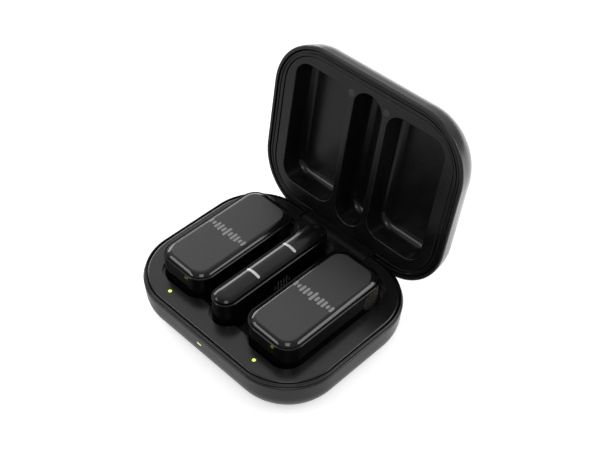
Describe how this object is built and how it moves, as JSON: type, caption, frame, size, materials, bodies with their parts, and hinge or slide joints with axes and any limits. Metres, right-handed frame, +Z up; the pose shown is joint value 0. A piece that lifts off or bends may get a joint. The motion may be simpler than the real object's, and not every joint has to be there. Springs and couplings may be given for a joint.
{
  "type": "clip-on wireless microphone transmitter kit in charging case",
  "caption": "Pocket charging case with hinged lid holding clip-on wireless transmitters and a plug-in bar receiver.",
  "frame": {"origin": "centre of the flat underside of the case", "axes": "+X along the hinge to the right, +Y from the front light to the hinge, +Z up; the lid stands open"},
  "size_m": [0.0722, 0.0783, 0.0677],
  "materials": {
    "soft_black_shell": "soft-touch matte black",
    "rim_black": "satin black moulded rim",
    "deck_black": "fine-textured matte black",
    "liner_black": "fine-textured matte black",
    "magnet_nickel": "nickel plated",
    "cell_wrap": "silver-grey pouch foil",
    "board_green": "solder-masked circuit board",
    "screw_steel": "blackened steel",
    "connector_steel": "bright stamped steel",
    "bracket_steel": "stainless steel",
    "spring_steel": "spring steel",
    "contact_gold": "gold plated",
    "gloss_black": "gloss black",
    "gloss_black_cover": "gloss black",
    "charcoal_satin": "satin charcoal face, polished bevel",
    "clip_black": "satin black",
    "mesh_bronze": "dark bronze woven mesh",
    "insulator_black": "moulded insulator",
    "white_diffuser": "white light diffuser",
    "lime_light": "lit lime-green light",
    "amber_light": "dim amber light"
  },
  "bodies": {
    "case": {"base_shell": "soft_black_shell", "rim_ring": "rim_black", "deck_tray": "deck_black", "base_magnets": "magnet_nickel", "case_cells": "cell_wrap", "case_board": "board_green", "board_screws": "screw_steel", "receiver_socket": "connector_steel", "usb_c_inlet": "connector_steel", "led_strip": "board_green", "front_led_lens": "lime_light", "hinge_bracket": "bracket_steel", "bracket_screws": "screw_steel", "hinge_pin": "bracket_steel", "left_pogo_pins": "contact_gold", "right_pogo_pins": "contact_gold", "left_deck_led": "lime_light", "right_deck_led": "lime_light"},
    "lid": {"lid_shell": "soft_black_shell", "lid_frame": "rim_black", "lid_liner": "liner_black", "lid_magnets": "magnet_nickel", "magnet_caps": "liner_black", "hinge_tongue": "liner_black", "hinge_spring": "spring_steel"},
    "left_transmitter": {"left_transmitter_housing": "gloss_black", "left_transmitter_cover": "charcoal_satin", "left_mic_mesh": "mesh_bronze", "left_mic_capsule": "connector_steel", "left_status_lens": "amber_light", "left_contact_pads": "contact_gold", "left_transmitter_board": "board_green", "left_transmitter_battery": "cell_wrap", "left_clip_pin": "spring_steel", "left_clip_spring": "spring_steel"},
    "right_transmitter": {"right_transmitter_housing": "gloss_black", "right_transmitter_cover": "charcoal_satin", "right_mic_mesh": "mesh_bronze", "right_mic_capsule": "connector_steel", "right_status_lens": "amber_light", "right_contact_pads": "contact_gold", "right_transmitter_board": "board_green", "right_transmitter_battery": "cell_wrap", "right_clip_pin": "spring_steel", "right_clip_spring": "spring_steel"},
    "left_clip": {"left_clip": "clip_black"},
    "right_clip": {"right_clip": "clip_black"},
    "receiver": {"receiver_housing": "gloss_black", "receiver_cover": "gloss_black_cover", "front_light_bar": "white_diffuser", "rear_light_bar": "white_diffuser", "receiver_plug_shell": "connector_steel", "receiver_plug_core": "insulator_black", "receiver_board": "board_green"}
  },
  "joints": [
    {"name": "lid_hinge", "type": "hinge", "parent": "case", "child": "lid", "pos_m": [0, 0.0274, 0.0123], "axis": [-1, 0, 0], "range_deg": [-99, 0]},
    {"name": "left_transmitter_lift", "type": "slide", "parent": "case", "child": "left_transmitter", "axis": [0, 0, 1], "range_m": [0, 0.03]},
    {"name": "right_transmitter_lift", "type": "slide", "parent": "case", "child": "right_transmitter", "axis": [0, 0, 1], "range_m": [0, 0.03]},
    {"name": "receiver_lift", "type": "slide", "parent": "case", "child": "receiver", "axis": [0, 0, 1], "range_m": [0, 0.03]},
    {"name": "left_clip_pivot", "type": "hinge", "parent": "left_transmitter", "child": "left_clip", "pos_m": [-0.018, 0.0085, 0.0106], "axis": [1, 0, 0], "range_deg": [0, 7], "stiffness_Nm_per_rad": 0.02, "springref_deg": -2.86},
    {"name": "right_clip_pivot", "type": "hinge", "parent": "right_transmitter", "child": "right_clip", "pos_m": [0.018, 0.0085, 0.0106], "axis": [1, 0, 0], "range_deg": [0, 7], "stiffness_Nm_per_rad": 0.02, "springref_deg": -2.86}
  ]
}
